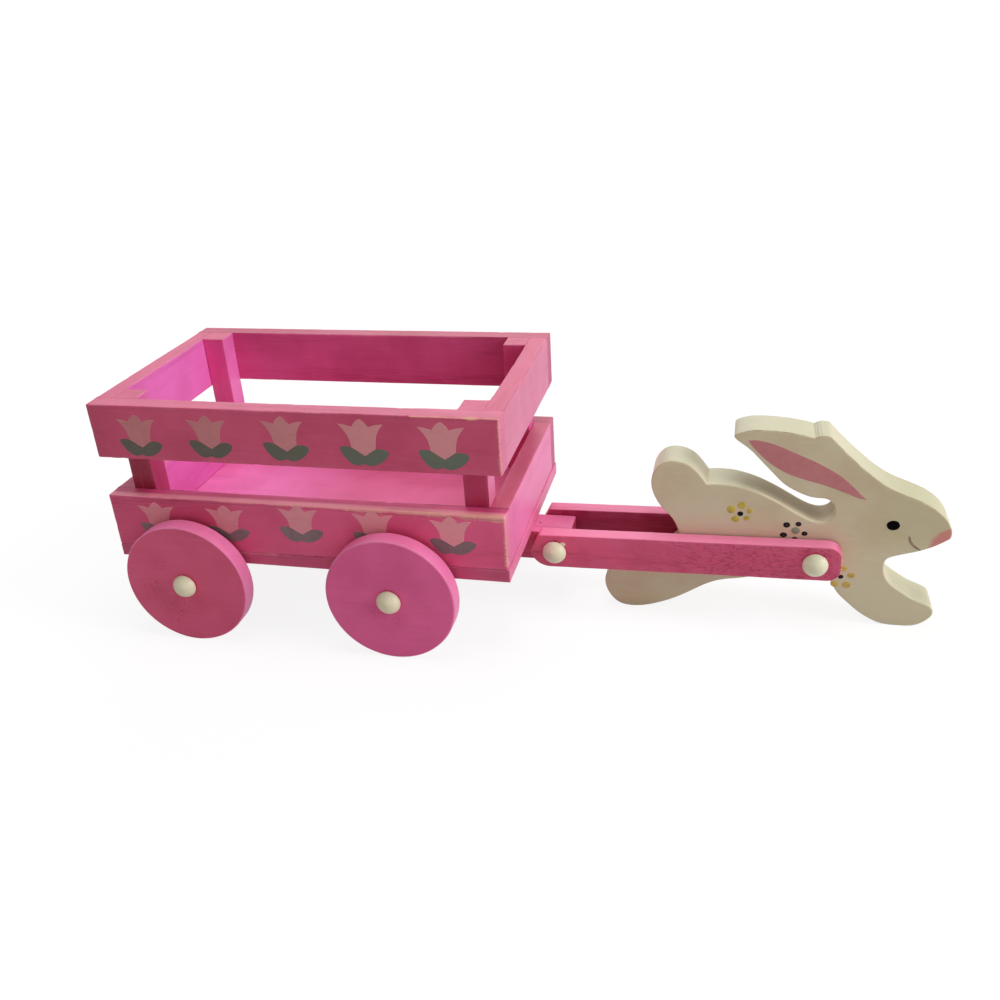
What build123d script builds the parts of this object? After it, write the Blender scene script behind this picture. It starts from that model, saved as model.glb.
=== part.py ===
from build123d import *
import os
from math import asin, cos, degrees, radians, sin

# A painted wooden toy cart drawn by a leaping rabbit cut from thick board.
# Millimetres. X runs forward to the rabbit, Y to the cart's far side, Z up.
# The wheels and the rabbit's feet stand on Z = 0, and the origin is below the middle.

# Cart box: two open frames of boards, one above the other, on four corner posts.
box_length = 200.0
box_width = 119.0
board_height = 27.5
board_thickness = 9.0
frame_gap = 20.0
post_side = 12.0
floor_thickness = 6.5
floor_lip = 0.6
edge_round = 0.7

# Running gear under the floor.
wheel_diameter = 64.0
wheel_thickness = 9.0
wheel_round = 0.9
wheel_side_gap = 2.0
bearer_width = 19.0
bearer_height = 16.0
rear_axle_inset = 39.0
front_axle_inset = 55.5

# One pattern of button-headed peg holds the wheels, the shafts and the rabbit.
peg_diameter = 5.5
peg_grip = 14.0
peg_head_diameter = 11.8
peg_head_height = 5.0
peg_head_rim = 1.2
peg_tip_chamfer = 0.6
running_clearance = 0.1
head_gap = 0.4
glue_gap = 0.02

# Draw gear: a tongue block under the front, and a flat shaft on either side of it.
tongue_width = 19.0
tongue_reach = 20.0
hitch_reach = 13.5
hitch_drop = 6.0
pin_spacing = 123.6
shaft_height = 18.0
shaft_thickness = 8.0
shaft_side_gap = 0.4
shaft_tail = 12.5
shaft_tail_corner = 7.5
shaft_heel_flat = 3.0
shaft_heel_bulge = 2.4
shaft_nose = 12.0
shaft_nose_radius = 6.5

# Rabbit, sawn from one board.
rabbit_length = 158.7
rabbit_height = 99.3
rabbit_side_gap = 0.7
rabbit_pin_from_tail = 99.8
rabbit_pin_height = 36.2
rabbit_peg_grip = 7.0

# Brads, driven flush.
brad_diameter = 1.4
brad_length = 16.0
brad_stagger = 4.0
floor_brad_length = 13.0
floor_brad_pitch = 60.0
bearer_brad_pitch = 40.0
tongue_brad_length = 12.0
tongue_brad_inset = 2.4
overrun = 1.0

# Rabbit's outline, clockwise from the root of the tail. Each stretch is one smooth
# curve, and the saw turned sharply where two stretches meet. Shares of the length
# from the hind foot and of the height from the ground.
rabbit_outline_shares = [
    [
        (0.233, 0.395), (0.222, 0.470), (0.206, 0.520), (0.177, 0.571), (0.157, 0.620),
        (0.142, 0.713), (0.152, 0.772), (0.170, 0.807), (0.193, 0.825), (0.222, 0.825),
        (0.249, 0.812), (0.278, 0.774), (0.307, 0.712),
    ],
    [
        (0.307, 0.712), (0.354, 0.716), (0.390, 0.710), (0.461, 0.675), (0.531, 0.617),
        (0.588, 0.564), (0.625, 0.542), (0.656, 0.547), (0.673, 0.574), (0.675, 0.607),
        (0.655, 0.660), (0.619, 0.667), (0.573, 0.688), (0.526, 0.732), (0.493, 0.785),
        (0.454, 0.851), (0.412, 0.915), (0.379, 0.968), (0.405, 0.990), (0.458, 1.000),
        (0.516, 0.995), (0.569, 0.983), (0.604, 0.970),
    ],
    [
        (0.604, 0.970), (0.621, 0.983), (0.643, 0.977), (0.667, 0.943), (0.723, 0.855),
        (0.789, 0.766), (0.826, 0.729), (0.866, 0.701), (0.906, 0.676), (0.943, 0.644),
        (0.971, 0.607), (0.992, 0.560), (1.000, 0.512), (0.997, 0.490),
    ],
    [
        (0.997, 0.490), (0.974, 0.463), (0.942, 0.433), (0.879, 0.396), (0.850, 0.380),
        (0.832, 0.361), (0.828, 0.322), (0.833, 0.279), (0.849, 0.237), (0.880, 0.198),
        (0.918, 0.159), (0.955, 0.134), (0.979, 0.106), (0.982, 0.079), (0.967, 0.042),
        (0.941, 0.012), (0.885, 0.000), (0.837, 0.006), (0.803, 0.029), (0.769, 0.064),
        (0.734, 0.114), (0.704, 0.163), (0.679, 0.231), (0.640, 0.285),
    ],
    [
        (0.640, 0.285), (0.590, 0.283), (0.520, 0.255), (0.465, 0.227), (0.410, 0.205),
        (0.366, 0.192), (0.318, 0.162), (0.261, 0.104), (0.197, 0.047), (0.137, 0.012),
        (0.084, 0.000), (0.043, 0.015), (0.014, 0.063), (0.000, 0.125), (0.006, 0.185),
        (0.040, 0.228), (0.110, 0.262), (0.180, 0.310), (0.233, 0.395),
    ],
]

# Heights and places worked out from the sizes above.
axle_height = wheel_diameter / 2
floor_bottom = axle_height + bearer_height / 2
lower_bottom = floor_bottom + floor_thickness
lower_top = lower_bottom + board_height
upper_bottom = lower_top + frame_gap
rail_top = upper_bottom + board_height
side_y = (box_width - board_thickness) / 2
post_y = side_y - (board_thickness + post_side) / 2
end_x = board_thickness / 2
post_x = board_thickness + post_side / 2
rear_axle_x = rear_axle_inset
front_axle_x = box_length - front_axle_inset
wheel_y = (box_width + wheel_thickness) / 2 + wheel_side_gap
hitch_x = box_length + hitch_reach
hitch_height = floor_bottom - hitch_drop
slope = degrees(asin((rabbit_pin_height - hitch_height) / pin_spacing))
rabbit_pin_x = hitch_x + pin_spacing * cos(radians(slope))
shaft_y = (tongue_width + shaft_thickness) / 2 + shaft_side_gap
rabbit_thickness = tongue_width + 2 * (shaft_side_gap - rabbit_side_gap)
peg_radius = peg_diameter / 2
near, far = -1, 1


def eased_block(length, width, height):
    """A sawn stick or board with its edges sanded, centred on its own middle."""
    block = Box(length, width, height)
    return fillet(block.edges(), edge_round)


def rod(start, direction, reach, diameter, behind=0):
    """A straight round solid from a point along a direction, begun `behind` the point."""
    solid = Cylinder(
        diameter / 2, reach + behind, align=(Align.CENTER, Align.CENTER, Align.MIN)
    )
    return Plane(origin=start, z_dir=direction) * Pos(Z=-behind) * solid


def hole(start, direction, depth, diameter):
    """The room cut for a rod that is driven or glued in from a surface."""
    return rod(start, direction, depth + glue_gap, diameter + 2 * glue_gap, overrun)


def peg(run, grip):
    """A peg along Z: its head is above zero, and its shank crosses `run` before it grips."""
    head_radius = peg_head_diameter / 2
    dome = peg_head_height - peg_head_rim
    dome_radius = (head_radius**2 + dome**2) / (2 * dome)
    half_turn = asin(head_radius / dome_radius) / 2
    mid = (
        dome_radius * sin(half_turn),
        peg_head_height - dome_radius * (1 - cos(half_turn)),
    )
    tip = -(run + grip)
    sides = Polyline(
        (0, peg_head_height),
        (0, tip),
        (peg_radius - peg_tip_chamfer, tip),
        (peg_radius, tip + peg_tip_chamfer),
        (peg_radius, 0),
        (head_radius, 0),
        (head_radius, peg_head_rim),
    )
    crown = ThreePointArc((head_radius, peg_head_rim), mid, (0, peg_head_height))
    return revolve(Plane.XZ * make_face(sides + crown), Axis.Z)


def peg_on_side(side, x, seat_y, z, run, grip):
    """A peg whose head seats at |Y| = seat_y on the near or the far side."""
    return Pos(x, side * seat_y, z) * Rot(X=-side * 90) * peg(run, grip)


def wheel(side, x):
    disc = Cylinder(wheel_diameter / 2, wheel_thickness)
    rims = disc.edges().filter_by(GeomType.CIRCLE)
    disc = fillet(rims, wheel_round) - Cylinder(
        peg_radius + running_clearance, wheel_thickness + overrun
    )
    return Pos(x, side * wheel_y, axle_height) * Rot(X=90) * disc


def shaft(side):
    """A flat bar from the hitch pin to the rabbit's pin, drawn with the hitch pin at zero."""
    half = shaft_height / 2
    nose_x = pin_spacing + shaft_nose
    heel_back, heel_foot = (-shaft_tail, 0), (-shaft_heel_flat, -half)
    sides = Polyline(
        heel_foot, (nose_x, -half), (nose_x, half), (-shaft_tail_corner, half), heel_back
    )
    heel = SagittaArc(heel_back, heel_foot, -shaft_heel_bulge)
    bar = extrude(Plane.XZ * make_face(sides + heel), shaft_thickness / 2, both=True)
    nose = bar.edges().filter_by(Axis.Y).group_by(Axis.X)[-1]
    bar = fillet(nose, shaft_nose_radius)
    bore = Rot(X=90) * Cylinder(
        peg_radius + running_clearance, shaft_thickness + overrun
    )
    bar = bar - bore - Pos(X=pin_spacing) * bore
    return Pos(hitch_x, side * shaft_y, hitch_height) * Rot(Y=-slope) * bar


def rabbit():
    stretches = [
        Spline(*[(along * rabbit_length, up * rabbit_height) for along, up in stretch])
        for stretch in rabbit_outline_shares
    ]
    outline = make_face(Curve() + stretches)
    body = extrude(Plane.XZ * outline, rabbit_thickness / 2, both=True)
    body = Pos(X=rabbit_pin_x - rabbit_pin_from_tail) * body
    for side in (near, far):
        start = (rabbit_pin_x, side * rabbit_thickness / 2, rabbit_pin_height)
        body -= hole(start, (0, -side, 0), rabbit_peg_grip, peg_diameter)
    return body


def frame_brads():
    """Where brads go through the boards into the posts: start, direction and length."""
    spots = []
    for bottom in (lower_bottom, upper_bottom):
        middle = bottom + board_height / 2
        for side in (near, far):
            for x in (post_x, box_length - post_x):
                start = (x, side * box_width / 2, middle + brad_stagger)
                spots.append((start, (0, -side, 0), brad_length))
            for x, ahead in ((0, 1), (box_length, -1)):
                start = (x, side * post_y, middle - brad_stagger)
                spots.append((start, (ahead, 0, 0), brad_length))
    return spots


def floor_brads():
    """Brads up through the floor's edge into the lower boards."""
    places = [(end_x, 0), (box_length - end_x, 0)]
    for step in (-1, 0, 1):
        for side in (near, far):
            places.append((box_length / 2 + step * floor_brad_pitch, side * side_y))
    return [((x, y, floor_bottom), (0, 0, 1), floor_brad_length) for x, y in places]


def bearer_brads():
    """Brads down through the floor into the bearers and the tongue block."""
    places = [(box_length - post_x, 0), (front_axle_x + bearer_width, 0)]
    for x in (rear_axle_x, front_axle_x):
        places += [(x, -bearer_brad_pitch), (x, bearer_brad_pitch)]
    return [((x, y, lower_bottom), (0, 0, -1), floor_brad_length) for x, y in places]


def tongue_brads():
    """The one brad that shows, in the block's top just ahead of the floor."""
    x = box_length + floor_lip + tongue_brad_inset
    return [((x, 0, floor_bottom), (0, 0, -1), tongue_brad_length)]


def cart_wood():
    """Every fixed board, post and stick of the cart, before its holes are drilled."""
    pieces = {}
    for frame, bottom in (("lower", lower_bottom), ("upper", upper_bottom)):
        z = bottom + board_height / 2
        for side, word in ((near, "near"), (far, "far")):
            board = eased_block(box_length, board_thickness, board_height)
            pieces[f"{frame}_side_{word}"] = Pos(box_length / 2, side * side_y, z) * board
        for x, word in ((end_x, "rear"), (box_length - end_x, "front")):
            inside = box_width - 2 * board_thickness
            board = eased_block(board_thickness, inside, board_height)
            pieces[f"{frame}_end_{word}"] = Pos(x, 0, z) * board
    post_height = rail_top - lower_bottom
    for side, across in ((near, "near"), (far, "far")):
        for x, along in ((post_x, "rear"), (box_length - post_x, "front")):
            post = eased_block(post_side, post_side, post_height)
            place = Pos(x, side * post_y, lower_bottom + post_height / 2)
            pieces[f"post_{along}_{across}"] = place * post
    floor_length = box_length + floor_lip
    floor = eased_block(floor_length, box_width, floor_thickness)
    pieces["floor_panel"] = Pos(floor_length / 2, 0, lower_bottom - floor_thickness / 2) * floor
    for x, word in ((rear_axle_x, "rear"), (front_axle_x, "front")):
        bearer = eased_block(bearer_width, box_width, bearer_height)
        pieces[f"axle_bearer_{word}"] = Pos(x, 0, axle_height) * bearer
    tongue_start = front_axle_x + bearer_width / 2
    tongue_length = box_length + tongue_reach - tongue_start
    tongue = eased_block(tongue_length, tongue_width, bearer_height)
    pieces["tongue_block"] = Pos(tongue_start + tongue_length / 2, 0, axle_height) * tongue
    return pieces


def drilled(pieces):
    """Cuts the brads' and the pegs' holes in the cart's wood."""
    spots = [
        (*spot, brad_diameter)
        for spot in frame_brads() + floor_brads() + bearer_brads() + tongue_brads()
    ]
    for side in (near, far):
        for x in (rear_axle_x, front_axle_x):
            start = (x, side * box_width / 2, axle_height)
            spots.append((start, (0, -side, 0), peg_grip, peg_diameter))
        start = (hitch_x, side * tongue_width / 2, hitch_height)
        spots.append((start, (0, -side, 0), tongue_width / 2, peg_diameter))
    holes = [hole(*spot) for spot in spots]
    for name, piece in pieces.items():
        box = piece.bounding_box()
        cuts = [cut for cut in holes if box.overlaps(cut.bounding_box())]
        pieces[name] = piece - cuts if cuts else piece
    return pieces


def pegs():
    """Eight pegs: one for each wheel, two at the hitch and two in the rabbit."""
    pieces = {}
    wheel_run = wheel_side_gap + wheel_thickness + head_gap
    shaft_run = shaft_side_gap + shaft_thickness + head_gap
    hitch_grip = (tongue_width - peg_tip_chamfer) / 2
    rabbit_side = rabbit_thickness / 2
    shaft_seat = tongue_width / 2 + shaft_run
    for side, word in ((near, "near"), (far, "far")):
        for x, axle in ((rear_axle_x, "rear"), (front_axle_x, "front")):
            pieces[f"wheel_peg_{axle}_{word}"] = peg_on_side(
                side, x, box_width / 2 + wheel_run, axle_height, wheel_run, peg_grip
            )
        pieces[f"hitch_peg_{word}"] = peg_on_side(
            side, hitch_x, shaft_seat, hitch_height, shaft_run, hitch_grip
        )
        pieces[f"rabbit_peg_{word}"] = peg_on_side(
            side, rabbit_pin_x, shaft_seat, rabbit_pin_height,
            shaft_seat - rabbit_side, rabbit_peg_grip,
        )
    return pieces


def build():
    pieces = drilled(cart_wood())
    pieces.update(pegs())
    for side, word in ((near, "near"), (far, "far")):
        pieces[f"wheel_rear_{word}"] = wheel(side, rear_axle_x)
        pieces[f"wheel_front_{word}"] = wheel(side, front_axle_x)
        pieces[f"shaft_{word}"] = shaft(side)
    pieces["rabbit"] = rabbit()
    for name, spots in (
        ("frame_brads", frame_brads()),
        ("floor_brads", floor_brads()),
        ("bearer_brads", bearer_brads()),
        ("tongue_brad", tongue_brads()),
    ):
        pieces[name] = Compound(children=[rod(*spot, brad_diameter) for spot in spots])
    return pieces


pieces = build()
back = min(piece.bounding_box().min.X for piece in pieces.values())
front = max(piece.bounding_box().max.X for piece in pieces.values())
middle = (back + front) / 2
os.makedirs("parts", exist_ok=True)
for name, piece in pieces.items():
    export_step(Pos(X=-middle) * piece, f"parts/{name}.step")
print("pieces", len(pieces), "shift", round(middle, 4), "slope", round(slope, 4))
print("rear axle x", round(rear_axle_x - middle, 3), "front", round(front_axle_x - middle, 3))
print("axle z", axle_height, "wheel y", wheel_y)
print("hitch x", round(hitch_x - middle, 3), "z", hitch_height)
print("rabbit pin x", round(rabbit_pin_x - middle, 3), "z", rabbit_pin_height)
print("floor top", lower_bottom, "lower top", lower_top, "upper bottom", upper_bottom,
      "rail top", rail_top)
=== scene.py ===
import math

import bmesh
import bpy
import numpy as np
from mathutils import Matrix, Vector, geometry, noise


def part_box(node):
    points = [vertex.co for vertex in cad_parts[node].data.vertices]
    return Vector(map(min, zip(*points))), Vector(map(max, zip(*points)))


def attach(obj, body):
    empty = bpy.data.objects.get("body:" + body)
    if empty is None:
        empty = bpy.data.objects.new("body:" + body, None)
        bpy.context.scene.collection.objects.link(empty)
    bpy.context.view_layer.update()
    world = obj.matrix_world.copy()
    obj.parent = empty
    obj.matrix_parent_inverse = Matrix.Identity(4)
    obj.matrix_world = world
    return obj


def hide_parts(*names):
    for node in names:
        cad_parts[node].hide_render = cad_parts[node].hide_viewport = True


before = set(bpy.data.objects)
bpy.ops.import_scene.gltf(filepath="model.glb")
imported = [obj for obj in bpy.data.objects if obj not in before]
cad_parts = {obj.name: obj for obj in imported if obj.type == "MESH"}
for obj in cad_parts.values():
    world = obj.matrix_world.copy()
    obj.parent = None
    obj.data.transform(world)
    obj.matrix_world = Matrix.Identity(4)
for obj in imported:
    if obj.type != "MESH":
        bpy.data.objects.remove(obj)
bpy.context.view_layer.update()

# A painted wooden toy cart drawn by a rabbit. Metres, X forward to the rabbit, Y away
# from the viewer, Z up. The wheels and the rabbit's feet stand on the floor at zero.
MM = 0.001

# The frame's bodies and slots, and the two sides as they lie along Y.
CART, DRAWBAR, RABBIT = "cart", "drawbar", "rabbit"
PINK, CREAM, STEEL = "pink_paint", "cream_paint", "brad_steel"
NEAR, FAR = -1, 1
SIDES = ((NEAR, "near"), (FAR, "far"))

# Paints as sRGB, 0 to 255. Thin pink over a face has its own colour, then the colour of a side
# that looks up, and of one that looks forward: these two are painted light and shade. The kinds
# are lighter and darker copies of one pink, painted light and shade on each piece.
PINKS = {
    "side": ((226, 92, 130), (226, 118, 150), (230, 112, 160)),
    "low_side": ((250, 104, 152), (222, 82, 138), (252, 148, 188)),
    "far": ((232, 100, 160), (204, 98, 126), (230, 112, 160)),
    "end": ((216, 78, 122), (226, 110, 144), (232, 128, 168)),
    "low_end": ((216, 78, 122), (226, 110, 144), (250, 138, 194)),
    "rear": ((216, 78, 130), (226, 112, 148), (246, 130, 214)),
    "post_rear_near": ((168, 40, 74), (226, 112, 146), (200, 76, 126)),
    "post_rear_far": ((248, 106, 174), (226, 112, 146), (244, 130, 206)),
    "post_front_near": ((200, 58, 104), (226, 112, 146), (244, 142, 188)),
    "post_front_far": ((234, 88, 152), (226, 112, 146), (236, 108, 172)),
    "floor": ((216, 88, 130), (244, 128, 178), (246, 134, 182)),
    "tongue": ((226, 84, 126), (242, 132, 180), (232, 90, 140)),
    "disc": ((236, 96, 138), (236, 96, 138), (236, 96, 138)),
    "front_disc": ((252, 110, 172), (252, 110, 172), (252, 110, 172)),
    "shaft": ((238, 98, 140), (246, 140, 180), (236, 100, 156)),
}
# Painted light and shade: a post's lit forward face, the lit outer top of the lower near board,
# the floor's lit rear, the far shaft's shaded inner face and the wheels' lit treads.
POST_LIT = (244, 130, 206)
LOW_RIM_LIT = (255, 166, 184)
FLOOR_REAR_LIT = (255, 148, 214)
FAR_SHAFT_SHADED = (182, 60, 104)
TREAD_HIGHLIGHT = (250, 138, 192)
PINK_PALE = (236, 150, 178)
PEACH_WORN = (250, 176, 164)
BARE_WOOD = (250, 206, 166)
GRIME_AND_SHADE = (96, 30, 46)
SPECK_RED = (176, 36, 52)
BRAD_PINK = (120, 52, 78)
BRAD_STEEL = (88, 74, 72)

CREAM_PAINT = (228, 218, 184)
CREAM_WARM = (220, 202, 166)
CREAM_PALE = (240, 234, 208)
CREAM_TOP_LIGHT = (207, 207, 176)
CREAM_WORN = (226, 196, 150)
CREAM_DIRT = (150, 120, 96)
CREAM_GLINT = (252, 240, 208)
OLIVE_LINE = (110, 92, 62)
PEG_CREAM = (242, 240, 208)
PEG_WARM = (236, 226, 190)
EAR_PINK, EAR_THIN = (212, 136, 138), (204, 126, 130)
NOSE_PINK = (222, 148, 136)
EYE_BLACK, EYE_THIN = (5, 2, 3), (3, 2, 2)
MOUTH_BROWN = (167, 142, 114)
FLOWER_YELLOW = (228, 211, 100)
FLOWER_ORANGE = (236, 204, 112)
FLOWER_NAVY = (30, 24, 32)
FLOWER_GREY = (160, 168, 142)
DOT_MAUVE = (120, 84, 84)

# Tints that multiply a colour, linear: clouds, scuffs and a painted shadow; grain and painted
# shade along the boards; painted shade on the rabbit's face and in its hollow.
CLOUD_SCUFF_AND_SHADOW_TINT = (0.62, 0.3, 0.4, 1)
GRAIN_AND_SHADE_TINT = (0.5, 0.2, 0.28, 1)
HAIR_TINT = (0.6, 0.4, 0.42, 1)
FACE_SHADE_TINT = (0.84, 0.83, 0.74, 1)
CREASE_SHADE_TINT = (0.74, 0.63, 0.48, 1)


def linear(colour):
    """sRGB 0 to 255 as the linear colour that a shader takes."""
    out = []
    for c in colour:
        c /= 255
        out.append(c / 12.92 if c <= 0.04045 else ((c + 0.055) / 1.055) ** 2.4)
    return (*out, 1)


def field(points, scale, seed):
    """Smooth noise from -1 to 1 at each point, scale in waves per metre."""
    shift = Vector((seed * 3.17, seed * 1.73, seed * 2.39))
    return np.array([noise.noise(Vector(p) * scale + shift) for p in points])


# ---- Materials ----


class Shade:
    """A material or world being built: each call adds nodes and returns an output.

    colour: what the surface shows so far, which coat and tint go over."""

    def __init__(self, owner):
        self.owner, self.colour = owner, None
        owner.use_nodes = True
        self.tree = owner.node_tree
        self.tree.nodes.clear()

    def add(self, kind, inputs=(), output=0, **settings):
        node = self.tree.nodes.new("ShaderNode" + kind)
        for key, value in settings.items():
            setattr(node, key, value)
        for key, value in dict(inputs).items():
            socket = node.inputs[key]
            if isinstance(value, bpy.types.NodeSocket):
                self.tree.links.new(value, socket)
            else:
                socket.default_value = value
        return node.outputs[output] if len(node.outputs) else None

    def place(self):
        """The point's place on its own object."""
        return self.add("TexCoord", output=3)

    def facing(self):
        """Which way the surface looks on its own object, as X, Y and Z."""
        return self.parts(self.add("TexCoord", output=1))

    def parts(self, vector):
        return self.add("SeparateXYZ", {0: vector}).node.outputs

    def mark(self, name):
        """A number that the mesh carries at each point."""
        return self.add("Attribute", output=2, attribute_name=name)

    def math(self, operation, value, *others, clamp=False):
        for other in others:
            value = self.add("Math", {0: value, 1: other}, operation=operation, use_clamp=clamp)
        return value

    def plus(self, *values):
        return self.math("ADD", *values)

    def less(self, *values):
        return self.math("SUBTRACT", *values)

    def times(self, *values):
        return self.math("MULTIPLY", *values)

    def step(self, value, low, high):
        """0 below low, 1 above high, smooth between."""
        ends = {"Value": value, "From Min": low, "From Max": high}
        return self.add("MapRange", ends, interpolation_type="SMOOTHSTEP")

    def spread(self, value, low, high):
        """Low where the value is 0, high where it is 1."""
        return self.add("MapRange", {"Value": value, "To Min": low, "To Max": high})

    def mix(self, amount, a, b, blend="MIX"):
        sockets = {0: amount, 6: a, 7: b}
        return self.add("Mix", sockets, 2, data_type="RGBA", clamp_factor=True, blend_type=blend)

    def coat(self, amount, paint):
        """Lays so much of an sRGB colour over the surface."""
        self.colour = self.mix(amount, self.colour, linear(paint))

    def tint(self, amount, tint):
        self.colour = self.mix(amount, self.colour, tint, "MULTIPLY")

    def noise(self, where, scale, detail=3, rough=0.55, distortion=0):
        return self.add("TexNoise", {"Vector": where, "Scale": scale, "Detail": detail,
                                     "Roughness": rough, "Distortion": distortion})

    def stretched(self, where, grain, along):
        """Coordinates squeezed along the grain, so that noise runs with it."""
        scale = [1, 1, 1]
        scale["XYZ".index(grain)] = along
        return self.add("Mapping", {"Vector": where, "Scale": scale})

    def ramp(self, where, colour, ramp):
        """A colour that turns to another along an axis: its name, from, to, the colour."""
        if not ramp:
            return colour
        axis, low, high, other = ramp
        along = self.parts(where)["XYZ".index(axis)]
        return self.mix(self.step(along, low, high), colour, linear(other))

    def finish(self, roughness, bump, strength, distance, **constants):
        normal = self.add("Bump", {"Strength": strength, "Distance": distance, "Height": bump})
        inputs = {"Base Color": self.colour, "Roughness": roughness, "Normal": normal}
        surface = self.add("BsdfPrincipled", {**inputs, **constants})
        self.add("OutputMaterial", {"Surface": surface})
        return self.owner

    def plain_rays(self):
        """1 for the rays that are to find plain white: camera, mirror and clear."""
        rays = self.add("LightPath").node.outputs
        kinds = ("Camera", "Glossy", "Transmission")
        return self.math("MAXIMUM", *(rays[f"Is {kind} Ray"] for kind in kinds))


def material(name):
    return Shade(bpy.data.materials.new(name))


# How far a side has turned to look up or forward before it takes its painted light or shade.
TURNED = (0.4, 0.9)
# Wear at which paint gets thin, and at which the wood is bare.
THIN, BARE = (0.34, 0.62), (0.66, 0.86)
# What the three noises that make wear ragged come to in the middle.
RAGGED_MIDDLE = 1.05


def pink_paint(name, grain, kind, cloudy=0.35, pale=0.12, streak=0.45, pits=0.3, fades=None,
               tread=False, top_ramp=None, ahead_ramp=None, inner=None):
    """Thin satin paint brushed on sawn softwood, rubbed through here and there.

    fades: X from, X to, how much darker it gets on the way, a painted shade on the box's boards,
    and how torn its grain is.
    top_ramp, ahead_ramp: the ramp of a side that looks up or forward, a painted light and shade.
    inner: the painted shade of a side that looks to the near side, if it has its own."""
    s = material(name)
    base, top, ahead = (linear(c) for c in PINKS[kind])
    where = s.place()
    forward, across, up = s.facing()
    flow = s.stretched(where, grain, 0.07)
    cloud = s.noise(where, 30)
    brush = s.noise(flow, 620, 4, 0.6)
    fibre = s.noise(s.stretched(where, grain, 0.035), 1500, 3, 0.7)
    growth = s.noise(flow, 130, 2, 0.5, 0.6)
    fleck = s.noise(where, 1700, 2, 0.6)
    patch = s.noise(where, 110, 3, 0.65)
    crumb = s.noise(flow, 900, 3, 0.7)
    speck = s.noise(where, 1100, 3, 0.6)

    # Its colour on each side, lighter or darker by which way the side looks as painted light and
    # shade, clouded, then darker along the board as painted shade and torn along the grain.
    if inner:
        base = s.mix(s.step(across, -TURNED[0], -TURNED[1]), base, linear(inner))
    s.colour = s.mix(s.step(up, *TURNED), base, s.ramp(where, top, top_ramp))
    s.colour = s.mix(s.step(forward, *TURNED), s.colour, s.ramp(where, ahead, ahead_ramp))
    if tread:
        # Scuffs darken the wheel, one of them a painted shadow of the peg's head; red specks of
        # dirt; and a painted highlight on the tread.
        scuff = s.mark("scuff")
        s.tint(s.times(scuff, 0.34), CLOUD_SCUFF_AND_SHADOW_TINT)
        dirt = s.noise(where, 620, 3, 0.7)
        s.coat(s.times(s.step(dirt, 0.56, 0.66), scuff, 0.8), SPECK_RED)
        s.coat(s.step(s.mark("tread"), 0.3, 0.8), TREAD_HIGHLIGHT)
    s.tint(s.times(s.step(cloud, 0.38, 0.7), cloudy), CLOUD_SCUFF_AND_SHADOW_TINT)
    if fades:
        start, stop, darker, tear = fades
        along = s.step(s.parts(where)[0], start, stop)
        upright = s.step(up, 0.9, 0.3)
        s.tint(s.times(along, upright, darker), GRAIN_AND_SHADE_TINT)
        torn = s.noise(s.stretched(where, grain, 0.35), 860, 5, 0.7, 1)
        share = s.plus(0.08, s.times(along, 0.92))
        s.tint(s.times(s.step(torn, 0.5, 0.6), share, tear, upright), GRAIN_AND_SHADE_TINT)

    # Brush marks, the grain under the paint and pits in it.
    s.coat(s.times(s.step(brush, 0.5, 0.75), pale), PINK_PALE)
    s.tint(s.times(s.step(growth, 0.5, 0.72), s.step(fibre, 0.38, 0.62), streak), GRAIN_AND_SHADE_TINT)
    pit = s.times(s.step(fleck, 0.66, 0.74), pits)
    s.coat(pit, GRIME_AND_SHADE)

    # Wear at the edges, down to the wood where the mesh is rubbed, and dark lines: dirt in
    # places, painted shade in others.
    s.coat(s.times(s.mark("edge"), s.step(patch, 0.34, 0.62), 0.3), PINK_PALE)
    ragged = s.plus(s.times(patch, 0.7), s.times(crumb, 0.9), s.times(speck, 0.5))
    worn = s.plus(s.mark("rub"), s.less(ragged, RAGGED_MIDDLE))
    bare = s.step(worn, *BARE)
    s.coat(s.times(s.step(worn, *THIN), 0.72), PEACH_WORN)
    s.coat(s.times(bare, 0.85), BARE_WOOD)
    dirt = s.step(s.plus(s.mark("line"), s.times(crumb, 0.5)), 0.62, 0.9)
    s.coat(s.times(dirt, 0.55), GRIME_AND_SHADE)

    rough = s.math("ADD", s.spread(brush, 0.34, 0.56), s.times(bare, 0.25), clamp=True)
    height = s.plus(s.times(brush, 0.35), s.times(fibre, 0.5), s.times(growth, 0.5))
    height = s.less(height, pit, s.times(bare, 0.6))
    return s.finish(rough, height, 0.45, 0.0003, **{"Specular IOR Level": 0.3})


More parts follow.
